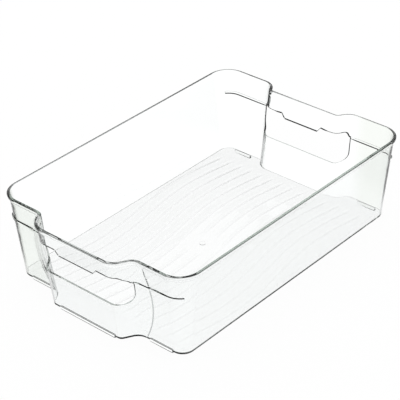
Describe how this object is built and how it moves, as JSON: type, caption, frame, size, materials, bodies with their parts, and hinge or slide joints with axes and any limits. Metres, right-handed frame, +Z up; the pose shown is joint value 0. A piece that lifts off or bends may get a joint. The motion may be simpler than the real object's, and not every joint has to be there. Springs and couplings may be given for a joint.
{
  "type": "fridge organizer",
  "caption": "Open clear plastic storage bin for a fridge shelf, with a handle slot in each end, an outward front bay and an inward back bay.",
  "frame": {"origin": "centre of the bounding box, on the plane under the feet", "axes": "+Z up; +Y along the length, from the front bay to the back bay; +X to the right for someone who faces the front bay and looks along +Y"},
  "size_m": [0.228, 0.3418, 0.092],
  "materials": {
    "clear_plastic": "clear, glossy styrene with a faint cool cast"
  },
  "bodies": {
    "root": {"bin": "clear_plastic"}
  },
  "joints": []
}
